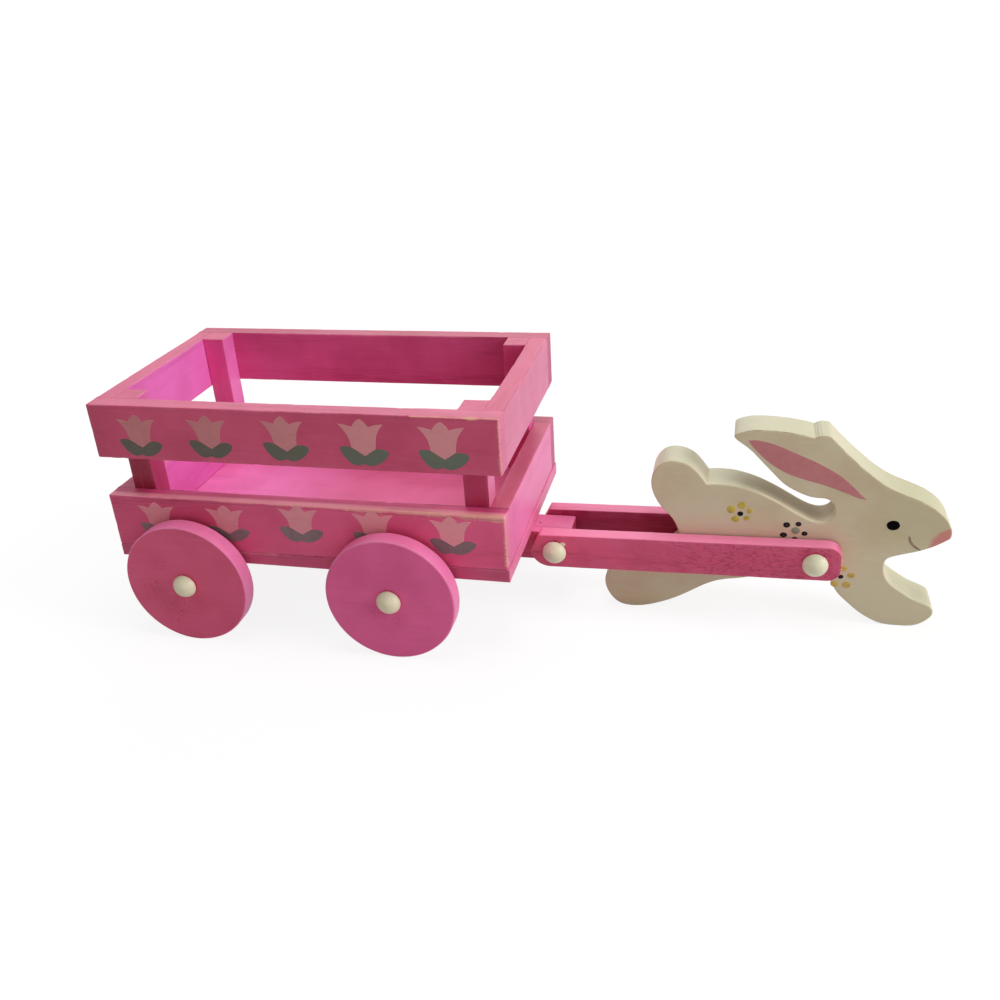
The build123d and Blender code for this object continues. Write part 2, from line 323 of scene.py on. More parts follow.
def cream_paint(name, base=CREAM_PAINT, warm=CREAM_WARM, rabbit=False):
    """Thicker satin cream paint on a smoothed board, with faint warm clouds."""
    s = material(name)
    where, edge = s.place(), s.mark("edge")
    brush = s.noise(s.stretched(where, "X", 0.15), 420, 4, 0.6)
    grit = s.noise(where, 1300, 3, 0.6)
    patch = s.noise(where, 120, 3, 0.7)
    s.colour = linear(base)
    s.coat(s.step(s.noise(where, 28), 0.4, 0.75), warm)
    # A side that looks up takes another cream, a painted light.
    s.coat(s.times(s.step(s.facing()[2], 0.3, 0.95), 0.9), CREAM_TOP_LIGHT)
    s.coat(s.times(s.step(brush, 0.5, 0.8), 0.35), CREAM_PALE)
    s.coat(s.times(s.step(grit, 0.68, 0.78), 0.3), CREAM_DIRT)
    worn = s.step(s.plus(edge, s.times(patch, 0.9)), 1.28, 1.5)
    s.coat(s.times(worn, 0.55), CREAM_WORN)
    if rabbit:
        # Painted shade on the face and in the hollow, a painted highlight along the hollow's
        # near side, a dark line at the brow, and the nose.
        s.tint(s.times(s.mark("shade"), 0.8), FACE_SHADE_TINT)
        s.tint(s.mark("crease"), CREASE_SHADE_TINT)
        s.coat(s.mark("glint"), CREAM_GLINT)
        broken = s.step(s.noise(where, 160), 0.3, 0.6)
        s.coat(s.times(s.step(edge, 0.6, 0.98), s.mark("line"), broken, 0.75), OLIVE_LINE)
        ragged = s.plus(s.mark("nose"), s.times(s.noise(where, 420), 0.16))
        s.coat(s.step(ragged, 0.44, 0.82), NOSE_PINK)
    height = s.plus(s.times(brush, 0.6), s.times(grit, 0.25))
    return s.finish(s.spread(brush, 0.34, 0.55), height, 0.45, 0.00025)


def dab_paint(name, colour, other=None, rough=0.42, gloss=0.4, grain=0.25, ramp=None):
    """A stencilled or dabbed spot of craft paint, a little uneven in cover."""
    s = material(name)
    where = s.place()
    blot = s.noise(where, 260, 4, 0.65)
    tooth = s.noise(s.stretched(where, "X", 0.2), 1500, 3, 0.65)
    hair = s.noise(s.stretched(where, "X", 0.03), 1900, 2, 0.6)
    other = other or tuple(0.82 * c for c in colour)
    s.colour = linear(colour)
    s.coat(s.step(blot, 0.35, 0.75), other)
    # A ramp, where given, is a painted light along an axis.
    s.colour = s.ramp(where, s.colour, ramp)
    s.coat(s.times(s.step(tooth, 0.55, 0.75), grain), other)
    s.tint(s.times(s.step(hair, 0.62, 0.7), grain), HAIR_TINT)
    sheen = s.spread(blot, rough - 0.08, rough + 0.12)
    return s.finish(sheen, tooth, 0.35, 0.00015, **{"Specular IOR Level": gloss})


def brad_metal(name):
    """A small steel brad, painted over and rubbed."""
    s = material(name)
    scuff = s.noise(s.place(), 1800, 4, 0.7)
    s.colour = linear(BRAD_PINK)
    s.coat(s.step(scuff, 0.42, 0.6), BRAD_STEEL)
    metal = s.step(scuff, 0.5, 0.62)
    return s.finish(s.spread(scuff, 0.35, 0.6), scuff, 0.4, 0.0001, Metallic=metal)


# ---- Meshes ----


def added(name, data):
    piece = bpy.data.objects.new(name, data)
    bpy.context.scene.collection.objects.link(piece)
    return piece


def face_of(node, side):
    """The Y of a node's near or far face."""
    low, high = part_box(node)
    return low.y if side == NEAR else high.y


def middle_of(node):
    """A node's middle in X and Z, at Y zero."""
    low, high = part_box(node)
    return Vector(((low.x + high.x) / 2, 0, (low.z + high.z) / 2))


def mesh_piece(name, points, faces, paint, body, slot=None, node=None, marks=()):
    """A closed mesh with its paint, on its body, in its node's place if it has one."""
    mesh = bpy.data.meshes.new(name)
    mesh.from_pydata([tuple(p) for p in points], [], faces)
    turned = bmesh.new()
    turned.from_mesh(mesh)
    bmesh.ops.recalc_face_normals(turned, faces=turned.faces)
    turned.to_mesh(mesh)
    turned.free()
    mesh.materials.append(paint)
    for face in mesh.polygons:
        face.use_smooth = True
    for key, values in marks:
        layer = mesh.attributes.new(key, "FLOAT", "POINT")
        layer.data.foreach_set("value", np.asarray(values, np.float32))
    piece = added(name, mesh)
    even = piece.modifiers.new("even_normals", "WEIGHTED_NORMAL")
    even.mode = "FACE_AREA"
    even.weight = 50
    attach(piece, body)
    if node:
        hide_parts(node)


def circle(sides):
    """The cosine and sine of even steps, once round."""
    turn = np.linspace(0, 2 * math.pi, sides, endpoint=False)
    return np.c_[np.cos(turn), np.sin(turn)]


# Steps of a rounded edge: share in from one side and the other, and how much edge it is.
QUARTER = [(1 - math.cos(t), 1 - math.sin(t), math.sin(2 * t))
           for t in np.linspace(0, math.pi / 2, 6)]


def joined(a, b):
    """Faces between two rings of points, by number. A ring may be one point."""
    quads = [(a[i % len(a)], a[(i + 1) % len(a)], b[(i + 1) % len(b)], b[i % len(b)])
             for i in range(max(len(a), len(b)))]
    return [list(dict.fromkeys(quad)) for quad in quads]


def skin(stacks, cap=None, closed=False):
    """Points and faces over stacks of rings of points.

    cap: gives the faces over a stack's first and last ring. closed: they join."""
    points, faces = [], []
    for stack in stacks:
        rings = []
        for ring in stack:
            rings.append(range(len(points), len(points) + len(ring)))
            points += [tuple(p) for p in ring]
        for a, b in zip(rings, rings[1:] + rings[:closed]):
            faces += joined(a, b)
        for ring in (rings[0], rings[-1]) if cap else ():
            faces += [[ring[i] for i in face] for face in cap([points[i] for i in ring])]
    return points, faces


# Grid lines near each end of a stick, close enough to carry its rounded edge.
EDGE_TICKS = np.array([0, 0.25, 0.5, 0.8, 1.15, 1.6, 2.2, 3]) * MM
TICK_SPACING = 2.6 * MM
TICK_ROOM = 0.3 * MM


def ticks(low, high):
    ends = EDGE_TICKS[EDGE_TICKS < (high - low) / 2 - TICK_ROOM]
    inner = high - low - 2 * ends[-1]
    count = max(1, round(inner / TICK_SPACING))
    middle = np.linspace(low + ends[-1], high - ends[-1], count + 1)
    return np.concatenate([low + ends[:-1], middle, (high - ends[:-1])[::-1]])


def block_grid(low, high):
    """Points and quads of a box whose six faces share one lattice."""
    lines = [ticks(a, b) for a, b in zip(low, high)]
    top = [len(line) - 1 for line in lines]
    number, faces = {}, []
    for axis in range(3):
        u, v = (axis + 1) % 3, (axis + 2) % 3
        for end in (0, top[axis]):
            for a, b in np.ndindex(top[u], top[v]):
                ring = []
                for da, db in ((0, 0), (1, 0), (1, 1), (0, 1)):
                    key = [0, 0, 0]
                    key[axis], key[u], key[v] = end, a + da, b + db
                    ring.append(number.setdefault(tuple(key), len(number)))
                faces.append(ring)
    return np.array([[line[i] for line, i in zip(lines, key)] for key in number]), faces


def fading(off, width):
    """1 where off is 0, falling smoothly to nothing at some twice the width."""
    return np.exp(-((off / width) ** 2))


def beside(points, line, width):
    """1 on a line through points, fading to 0 away from it."""
    nearest = np.full(len(points), 1e9)
    for a, b in zip(np.array(line), np.array(line[1:])):
        along = np.clip((points - a) @ (b - a) / max((b - a) @ (b - a), 1e-12), 0, 1)
        off = np.linalg.norm(points - a - along[:, None] * (b - a), axis=1)
        nearest = np.minimum(nearest, off)
    return fading(nearest, width)


def rubbed(points, low, high, rubs):
    """How far each point is rubbed: from and to as shares of the box, mm wide, amount."""
    worn = np.zeros(len(points))
    for start, stop, width, amount in rubs:
        line = [low + (high - low) * np.array(share) for share in (start, stop)]
        worn = np.maximum(worn, amount * beside(points, line, width * MM))
    return worn


# In waves per metre, how a stick's rounding varies, its edges are knocked, its sides sag
# and wear strays from the edges. Then the least and most rounding, in mm.
ROUNDING_WAVES, KNOCK_WAVES, SAG_WAVES, STRAY_WAVES = 55, 260, 38, 30
ROUND_LIMITS = (0.3, 2)


def stick(node, paint, seed, kind="stick", radius=0.6, chip=0.7, keep=(), warp=0.12, rubs=(),
          lines=(), seams=()):
    """A sawn stick or board with hand-rounded, knocked edges, in its node's place.

    keep: the axes whose sides stay flat. rubs: where it is worn. lines: where it has dark lines,
    dirt in places and painted shade in others.
    seams: the edges against a neighbour, which paint has filled, so they stay sharp."""
    low, high = (np.array(corner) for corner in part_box(node))
    points, faces = block_grid(low, high)
    slow, quick = field(points, ROUNDING_WAVES, seed), field(points, KNOCK_WAVES, seed + 9)
    knock = np.clip(quick - 0.25, 0, 1) * 1.6
    worn = rubbed(points, low, high, rubs)
    filled_in = rubbed(points, low, high, seams)
    r = np.clip(radius * (1 + 0.35 * slow) + chip * knock + 0.5 * worn, *ROUND_LIMITS)
    r = (MM * r * (1 - 0.8 * filled_in))[:, None]
    inner = np.clip(points, low + r, high - r)
    out = points - inner
    way = out / np.maximum(np.linalg.norm(out, axis=1, keepdims=True), 1e-9)
    points = inner + way * r
    turned = (1 - np.abs(way).max(1)) / (1 - math.sqrt(0.5))
    gap = np.sort(np.minimum(points - low, high - points), axis=1)[:, 1]
    near_edge = np.exp(-np.clip(gap - 0.5 * MM, 0, None) / (0.9 * MM)) * 0.62
    edge = np.clip(np.maximum(turned, near_edge), 0, 1) * (1 - filled_in)
    sag = warp * MM * (0.5 + 0.5 * field(points, SAG_WAVES, seed + 4))
    for axis in keep:
        sag *= 1 - np.abs(way[:, axis])
    points = points - way * sag[:, None]
    stray = np.clip(field(points, STRAY_WAVES, seed + 6) - 0.26, 0, 1) * 1.2 * edge
    marks = (("edge", edge), ("rub", np.maximum(worn, stray)),
             ("line", rubbed(points, low, high, lines)))
    mesh_piece(f"{node}_{kind}", points, faces, paint, CART, PINK, node, marks)


def cap_loops(node, level):
    """The closed outlines, in XZ, of a node's flat face at that Y, the largest first."""
    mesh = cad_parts[node].data
    sides = {}
    for face in mesh.polygons:
        ring = [mesh.vertices[i].co for i in face.vertices]
        if all(abs(p.y - level) < 1e-6 for p in ring):
            keys = [(round(p.x, 7), round(p.z, 7)) for p in ring]
            sides.update(dict.fromkeys(zip(keys, keys[1:] + keys[:1])))
    onward = {a: b for a, b in sides if (b, a) not in sides}
    loops = []
    while onward:
        loop, here = [], next(iter(onward))
        while here in onward:
            loop.append(here)
            here = onward.pop(here)
        loops.append(np.array(loop))
    return sorted(loops, key=lambda loop: -abs(area(loop)))


def area(loop):
    x, z = loop[:, 0], loop[:, 1]
    return 0.5 * float(np.sum(x * np.roll(z, -1) - np.roll(x, -1) * z))


def anticlockwise(loop):
    return loop if area(loop) > 0 else loop[::-1]


SHARP_TURN = math.radians(28)


def resampled(loop, spacing):
    """The loop, anticlockwise, with even spacing and its sharp corners kept."""
    loop = anticlockwise(loop)
    ahead = np.roll(loop, -1, 0) - loop
    angle = np.arctan2(ahead[:, 1], ahead[:, 0])
    turn = np.abs((angle - np.roll(angle, 1) + math.pi) % (2 * math.pi) - math.pi)
    sharp = np.flatnonzero(turn > SHARP_TURN)
    if not len(sharp):
        sharp = np.array([0])
    out = []
    for a, b in zip(sharp, np.roll(sharp, -1)):
        count = (b - a) % len(loop) or len(loop)
        run = loop[[(a + i) % len(loop) for i in range(count + 1)]]
        along = np.concatenate([[0], np.cumsum(np.linalg.norm(np.diff(run, axis=0), axis=1))])
        at = np.linspace(0, along[-1], max(2, round(along[-1] / spacing)) + 1)[:-1]
        out.append(np.c_[np.interp(at, along, run[:, 0]), np.interp(at, along, run[:, 1])])
    return np.concatenate(out)


MITRE_MOST = 1.6


def inset(loop, distance):
    """An anticlockwise loop moved inwards, mitred at its corners."""
    ahead = np.roll(loop, -1, 0) - loop
    ahead /= np.linalg.norm(ahead, axis=1, keepdims=True)
    left = np.c_[-ahead[:, 1], ahead[:, 0]]
    both = left + np.roll(left, 1, 0)
    size = np.maximum(np.linalg.norm(both, axis=1, keepdims=True), 1e-6)
    mitre = np.clip(2 / size, 1, MITRE_MOST)
    return loop + both / size * mitre * np.reshape(distance, (-1, 1))


def inside(points, loop):
    x, z = points[:, 0][:, None], points[:, 1][:, None]
    ax, az = loop[:, 0], loop[:, 1]
    bx, bz = np.roll(ax, -1), np.roll(az, -1)
    crosses = (az > z) != (bz > z)
    rise = np.where(np.abs(bz - az) < 1e-12, 1e-12, bz - az)
    return (np.sum(crosses & (x < (bx - ax) * (z - az) / rise + ax), axis=1) % 2) == 1


def within(points, rims):
    """Which points lie in the first rim and in none of the others."""
    return inside(points, rims[0]) & ~np.any([inside(points, rim) for rim in rims[1:]], axis=0)


# How near a rim a spread point may lie, as a share of the spacing.
RIM_ROOM = 0.45


def filled(rims, spacing):
    """Triangles over the first rim less the others, with points spread inside.

    Also gives, for each point, the numbers of the rims' points that it stands for."""
    grid = [np.arange(low + spacing / 2, high, spacing)
            for low, high in zip(rims[0].min(0), rims[0].max(0))]
    spread = np.array([(x, z) for x in grid[0] for z in grid[1]])
    spread = spread[within(spread, rims)]
    sides, at = [], 0
    for rim in rims:
        off = np.linalg.norm(spread[:, None] - rim[None], axis=2).min(1)
        spread = spread[off > RIM_ROOM * spacing]
        sides += [(at + i, at + (i + 1) % len(rim)) for i in range(len(rim))]
        at += len(rim)
    points = [Vector(p) for p in np.concatenate([*rims, spread])]
    found = geometry.delaunay_2d_cdt(points, sides, [], 0, 1e-9)
    verts = np.array([tuple(v) for v in found[0]])
    held = within(np.array([verts[list(f)].mean(0) for f in found[2]]), rims)
    return verts, [f for f, h in zip(found[2], held) if h], found[3]


HOLE_SIDES = 40


def round_hole(loop):
    """An even circle in place of a bore's outline."""
    middle = (loop.min(0) + loop.max(0)) / 2
    return middle + np.linalg.norm(loop - middle, axis=1).max() * circle(HOLE_SIDES)


# A plate's edges are eased by so much, uneven at so many waves per metre.
EASED, RIM_WAVES = 0.7 * MM, 120
WALL_SPACING = 3 * MM
# The least that a plate's wall and its faces' rims count as edge, and how far that goes.
WALL_EDGE, RIM_EDGE, RIM_REACH = 0.25, 0.5, 1.2 * MM


def plate(name, node, paint, body, slot, spacing, fill, seed, marks, uneven=0.3, reshape=None):
    """A piece sawn from board: its outline runs through Y, its rim edges are eased.

    spacing and fill: between the points of its outline and of its faces, mm. marks:
    gives what its points carry. uneven: by what share the easing varies."""
    low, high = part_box(node)
    loops = cap_loops(node, low.y)
    outline = resampled(reshape(loops[0]) if reshape else loops[0], spacing * MM)
    holes = [round_hole(loop) for loop in loops[1:]]
    count = len(outline)
    rim = np.insert(outline, 1, 0, axis=1)
    r = EASED * (1 + uneven * field(rim, RIM_WAVES, seed))
    wall = max(2, round((high.y - low.y) / WALL_SPACING))
    eased = [(inset(outline, r * across), r * up, share) for across, up, share in QUARTER]
    rings = [(loop, low.y + up, share) for loop, up, share in eased[::-1]]
    for k in range(1, wall):
        rings.append((outline, low.y + r + (high.y - low.y - 2 * r) * k / wall, 0))
    rings += [(loop, high.y - up, share) for loop, up, share in eased]
    points, faces = skin([[np.insert(loop, 1, y, axis=1) for loop, y, share in rings]])
    edge = np.repeat([max(WALL_EDGE, share) for loop, y, share in rings], count)
    edge[:count] = edge[-count:] = RIM_EDGE
    edge = list(edge)

    # The two flat faces share the first and last ring's points, then the holes' walls.
    hole_ends = []
    for loop, y, first in ((rings[0][0], low.y, 0), (rings[-1][0], high.y, len(points) - count)):
        verts, triangles, source = filled([loop, *holes], fill * MM)
        number, ends = [], {}
        for v, origin in zip(verts, source):
            known = [o for o in origin if o < count]
            if known:
                number.append(known[0] + first)
                continue
            number.append(len(points))
            ends.update((o, len(points)) for o in origin)
            points.append((v[0], y, v[1]))
            gap = np.linalg.norm(loop - v, axis=1).min()
            edge.append(RIM_EDGE * math.exp(-gap / RIM_REACH))
        hole_ends.append(ends)
        faces += [[number[i] for i in triangle] for triangle in triangles]
    for at in range(count, count + len(holes) * HOLE_SIDES, HOLE_SIDES):
        faces += joined(*([ends[at + i] for i in range(HOLE_SIDES)] for ends in hole_ends))
    points = np.array(points)
    mesh_piece(name, points, faces, paint, body, slot, node, (("edge", edge), *marks(points)))


def lathe(name, node, profile, sides, paint, body, slot, seed, rough, waves, marks=None):
    """A turned piece about a Y axis through its node. profile: radius, Y and edge share.

    rough: how far it is out of round, mm, and waves: how often, per metre. A piece that
    gives marks for its points is bored through, and its profile closes."""
    middle = middle_of(node)
    stack = [[middle + Vector((radius * c, y, radius * s)) for c, s in circle(sides)]
             for radius, y, share in profile]
    stack = [ring if entry[0] else ring[:1] for ring, entry in zip(stack, profile)]
    points, faces = skin([stack], closed=marks is not None)
    points = np.array(points)
    edge = np.repeat([share for radius, y, share in profile], [len(ring) for ring in stack])
    away = (points - middle) * (1, 0, 1)
    size = np.linalg.norm(away, axis=1, keepdims=True)
    shrink = rough * MM * (0.5 + 0.5 * field(points, waves, seed))
    share = np.clip(size[:, 0] / size.max(), 0, 1) ** 2
    points -= away / np.maximum(size, 1e-9) * (shrink * share)[:, None]
    mesh_piece(name, points, faces, paint, body, slot, node,
               (("edge", edge), *(marks(points) if marks else ())))


# Scuffed spots on the wheels' faces, and on the front near wheel a painted shadow of its peg's
# head: X and Z from the middle and width in mm, amount.
SCUFFS_AND_SHADOWS = {
    "wheel_rear_near": ((-8, -13, 8, 1), (-17, -3, 7, 0.7),
                        (-12, 12, 6, 0.5), (5, -8, 4, 0.7)),
    "wheel_front_near": ((-7, -5, 5, 1), (3, -9.5, 4, 0.6)),
    "wheel_rear_far": ((8, -12, 9, 0.9), (-14, 6, 6, 0.7)),
    "wheel_front_far": ((-9, 10, 8, 0.8), (12, -14, 7, 0.7)),
}
WHEEL_BORE, BORE_CHAMFER, WHEEL_ROUND, TREAD_REACH = (v * MM for v in (2.85, 0.3, 1, 1.2))
WHEEL_SIDES = 144


def wheel(node, paint, seed):
    """A disc sawn and turned from board, bored for its peg."""
    low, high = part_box(node)
    radius = (high.x - low.x) / 2
    profile = [(WHEEL_BORE, high.y - BORE_CHAMFER, 0), (WHEEL_BORE, low.y + BORE_CHAMFER, 0),
               (WHEEL_BORE + BORE_CHAMFER, low.y, 0.2)]
    for share in (0.2, 0.3, 0.4, 0.5, 0.6, 0.7, 0.8, 0.88, 0.94):
        profile.append((radius * share, low.y, 0))
    eased = [(radius - WHEEL_ROUND * across, WHEEL_ROUND * up, edge)
             for up, across, edge in QUARTER]
    profile += [(r, low.y + up, edge) for r, up, edge in eased]
    for share in (0.3, 0.5, 0.7):
        profile.append((radius, low.y + (high.y - low.y) * share, 0.1))
    profile += [(r, high.y - up, edge) for r, up, edge in eased[::-1]]
    for share in (0.93, 0.85, 0.7, 0.5, 0.3):
        profile.append((radius * share, high.y, 0))
    profile.append((WHEEL_BORE + BORE_CHAMFER, high.y, 0.2))

    def marks(points):
        flat = ((points - middle_of(node)) / MM)[:, [0, 2]]
        scuffs_and_shadow = [amount * beside(flat, [(x, z)] * 2, wide)
                  for x, z, wide, amount in SCUFFS_AND_SHADOWS[node]]
        # The tread, which takes a painted highlight, then the scuffs and the painted shadow.
        tread = np.linalg.norm(flat, axis=1) + (TREAD_REACH - radius) / MM
        return (("tread", np.clip(tread, 0, 1)), ("scuff", np.max(scuffs_and_shadow, axis=0)))

    lathe(f"{node}_disc", node, profile, WHEEL_SIDES, paint, node, PINK, seed, rough=0.16,
          waves=95, marks=marks)


PEG_RADIUS, PEG_HEAD_RADIUS, PEG_HEAD, PEG_RIM, PEG_CHAMFER = (
    v * MM for v in (2.75, 5.9, 5, 1.2, 0.6))
PEG_SIDES, DOME_STEPS = 48, 13
# A peg head's rolled rim: radius and height over its seat in mm, and edge share.
PEG_RIM_PROFILE = ((5.72, 1.42, 0.3), (5.88, 1.1, 0.4), (5.9, 0.75, 0.3), (5.86, 0.35, 0.3),
                   (5.68, 0.08, 0.4), (5.4, 0, 0.2), (4, 0, 0), (2.75, 0, 0))


def peg(node, side, body, seed):
    """A button-headed peg, turned and thickly painted."""
    crown, tip = face_of(node, side), face_of(node, -side)
    seat = crown - side * PEG_HEAD
    dome = PEG_HEAD - PEG_RIM
    ball = (PEG_HEAD_RADIUS**2 + dome**2) / (2 * dome)
    wide = math.asin(PEG_HEAD_RADIUS / ball)
    profile = [(0, crown, 0)]
    for turn in np.linspace(0, wide, DOME_STEPS, endpoint=False)[1:]:
        profile.append((ball * math.sin(turn), crown - side * ball * (1 - math.cos(turn)), 0))
    profile += [(r * MM, seat + side * up * MM, share) for r, up, share in PEG_RIM_PROFILE]
    profile += [(PEG_RADIUS, (seat + tip) / 2, 0), (PEG_RADIUS, tip + side * PEG_CHAMFER, 0),
                (PEG_RADIUS - PEG_CHAMFER, tip, 0), (0, tip, 0)]
    lathe(f"{node}_turned", node, profile, PEG_SIDES, cream_peg, body, CREAM, seed, rough=0.1,
          waves=300)


def smooth_loop(points, corners=(), per=4):
    """A closed curve through the points, sharp at the corners named by index."""
    n, out = len(points), []
    p = [Vector(q) for q in points]
    for i in range(n):
        a, b = p[i], p[(i + 1) % n]
        before = a if i in corners else p[i - 1]
        after = b if (i + 1) % n in corners else p[(i + 2) % n]
        m0, m1 = (b - before) * 0.5, (after - a) * 0.5
        for t in np.arange(per) / per:
            h = ((2 * t**3 - 3 * t**2 + 1) * a + (t**3 - 2 * t**2 + t) * m0
                 + (-2 * t**3 + 3 * t**2) * b + (t**3 - t**2) * m1)
            out.append(tuple(h))
    return np.array(out)


# How far a film of paint starts under the face, in mm, and where its side bends.
FILM_SINK, FILM_BEND = 0.25, 0.35


def film(name, shapes, node, side, paint, body, thick=0.07, soft=0.12):
    """Thin spots of paint on a node's flat face. shapes: outlines in XZ metres.

    thick: of the paint, and soft: how far its edge slopes, in mm."""
    stacks, level = [], face_of(node, side)
    for loop in map(anticlockwise, shapes):
        rings = ((loop, -FILM_SINK), (loop, thick * FILM_BEND), (inset(loop, soft * MM), thick))
        stacks.append([np.insert(ring, 1, level + side * up * MM, axis=1) for ring, up in rings])

    def cap(ring):
        return geometry.tessellate_polygon([[Vector((x, z, 0)) for x, y, z in ring]])

    mesh_piece(name, *skin(stacks, cap), paint, body)


DAB_SIDES, DAB_WOBBLE = 28, 0.07
# A dab from its foot in the face to its crown: share of its width, and of its height.
DAB_RINGS = ((0, -0.25), (1, -0.25), (1, 0.1), (0.93, 0.45), (0.78, 0.75), (0.5, 0.93),
             (0.2, 1), (0, 1))


def dabs(name, spots, node, side, paint, body):
    """Raised round dabs of paint on a node's flat face.

    spots: X and Z in metres, then half width, half height and height in mm."""
    stacks, level = [], face_of(node, side)
    for number, (x, z, wide, tall, high) in enumerate(spots):
        rim = [(c, s, 1 + DAB_WOBBLE * noise.noise(Vector((c, s, number * 3.1))))
               for c, s in circle(DAB_SIDES)]
        stacks.append([])
        for share, up in DAB_RINGS:
            y = level + side * (up * high if up > 0 else up) * MM
            ring = [(x + wide * MM * share * wobble * c, y, z + tall * MM * share * wobble * s)
                    for c, s, wobble in rim]
            stacks[-1].append(ring if share else ring[:1])
    mesh_piece(name, *skin(stacks), paint, body)


def clusters(points, faces):
    """Groups of points that faces join. Points at one place count as one."""
    keys = [tuple(round(c, 6) for c in p) for p in points]
    place, groups = dict(zip(keys, points)), []
    for face in faces:
        group = {keys[i] for i in face}
        group.update(*(other for other in groups if other & group))
        groups = [other for other in groups if not other & group] + [group]
    return [np.array([place[key] for key in group]) for group in groups]


# A brad's outline from its head: share of its radius, and depth under the head's plane in
# mm. Its point narrows to a share of its radius over the last of its length.
BRAD = ((0.35, 0.01), (0.7, 0.03), (0.92, 0.08), (1, 0.2))
BRAD_POINT, BRAD_POINT_SHARE = 1.2 * MM, 0.25
BRAD_SIDES = 20


def brads(name, node, paint, toward):
    """Brads with slightly domed heads. toward: the heads' side of their axis, or None for
    the side away from the cart's middle."""
    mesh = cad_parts[node].data
    cart_middle = np.array(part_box("floor_panel")).mean(0)
    stacks = []
    for group in clusters([tuple(v.co) for v in mesh.vertices],
                          [list(f.vertices) for f in mesh.polygons]):
        low, high = group.min(0), group.max(0)
        middle, size = (low + high) / 2, high - low
        axis = int(np.argmax(size))
        side = toward or (1 if middle[axis] > cart_middle[axis] else -1)
        down, u, v = (np.eye(3)[(axis + i) % 3] for i in range(3))
        radius, length = np.delete(size, axis).max() / 2, size[axis]
        crown = middle + down * side * length / 2
        profile = [(share * radius, depth * MM) for share, depth in BRAD]
        profile += [(radius, length - BRAD_POINT), (BRAD_POINT_SHARE * radius, length)]
        stacks.append([[crown - down * side * depth + (u * c + v * s) * r
                        for c, s in circle(BRAD_SIDES)] for r, depth in profile])
    points, faces = skin(stacks, lambda ring: [range(len(ring))])
    mesh_piece(name, points, faces, paint, CART, STEEL, node)


# ---- The cart ----

UPPER_NEAR, LOWER_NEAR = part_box("upper_side_near"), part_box("lower_side_near")
BOX_REAR = UPPER_NEAR[0].x
# Painted shade and light in the box: the near boards darken towards the rear and the far boards
# towards the front, where the front end shades them; the lower near board's top is lighter
# towards its outer edge, out of the upper board's shade, and the floor lighter towards the rear.
UPPER_SHADE_FADE = (BOX_REAR + 0.03, BOX_REAR, 0.3, 0.1)
LOWER_SHADE_FADE = (BOX_REAR + 0.15, BOX_REAR + 0.03, 0.36, 0.1)
FAR_SHADE_FADE = (BOX_REAR + 0.14, BOX_REAR + 0.188, 0.5, 0.15)
LOW_RIM_LIGHT_RAMP = ("Y", LOWER_NEAR[1].y - 3.5 * MM, LOWER_NEAR[0].y + 2.5 * MM, LOW_RIM_LIT)
FLOOR_LIGHT_RAMP = ("X", BOX_REAR + 0.11, BOX_REAR + 0.04, FLOOR_REAR_LIT)

# The lower boards' pinks are lighter copies of the upper ones', a painted light.
paint_sides = {
    "upper_near": pink_paint("pink_side_board", "X", "side", streak=0.5, fades=UPPER_SHADE_FADE),
    "lower_near": pink_paint("pink_low_side_board", "X", "low_side", streak=0.5,
                             fades=LOWER_SHADE_FADE, top_ramp=LOW_RIM_LIGHT_RAMP),
}
paint_far = pink_paint("pink_far_board", "X", "far", streak=0.4, fades=FAR_SHADE_FADE)
paint_rear = pink_paint("pink_rear_board", "Y", "rear", 0.25, 0.12, 0.25)
paint_fronts = {
    "upper": pink_paint("pink_end_board", "Y", "end", 0.25, 0.15, 0.25),
    "lower": pink_paint("pink_low_end_board", "Y", "low_end", 0.25, 0.15, 0.25),
}
paint_under = pink_paint("pink_bearer", "Y", "side", 0.4, 0.1, 0.5)
# The front wheels' pink is a lighter copy of the rear ones', a painted light.
paint_disc = {
    "rear": pink_paint("pink_rear_disc", "X", "disc", 0.3, 0.12, 0.14, 0.5, tread=True),
    "front": pink_paint("pink_front_disc", "X", "front_disc", 0.3, 0.12, 0.12, 0.5, tread=True),
}
painted_brad = pink_paint("pink_over_brad", "Z", "side", 0.6, 0.1, 0.3)
cream_body = cream_paint("cream_rabbit", rabbit=True)
cream_peg = cream_paint("cream_peg", PEG_CREAM, PEG_WARM)

# Rubbed lines on the boards that show it: from and to as shares of the board's box, mm
# wide, amount.
RUBS = {
    "upper_side_near": (
        ((0.8, 0, 1), (1, 0, 1), 0.8, 0.72), ((0.93, 0, 1), (0.95, 0, 1), 1.6, 0.9),
        ((1, 0, 0), (1, 0, 1), 1.4, 0.6), ((0.4, 0, 1), (0.62, 0, 1), 0.6, 0.45),
        ((0, 0, 0), (0.03, 0, 0), 0.8, 0.5),
    ),
    "lower_side_near": (
        ((0.3, 0, 1), (0.62, 0, 1), 1.1, 0.5), ((0.62, 0, 1), (1, 0, 1), 2.2, 0.62),
        ((1, 0, 0.1), (1, 0, 1), 2, 0.5), ((0.9, 0, 1), (1, 0, 1), 3, 0.7),
    ),
    "upper_end_rear": (((0, 0.2, 1), (0, 1, 1), 0.8, 0.42),),
}
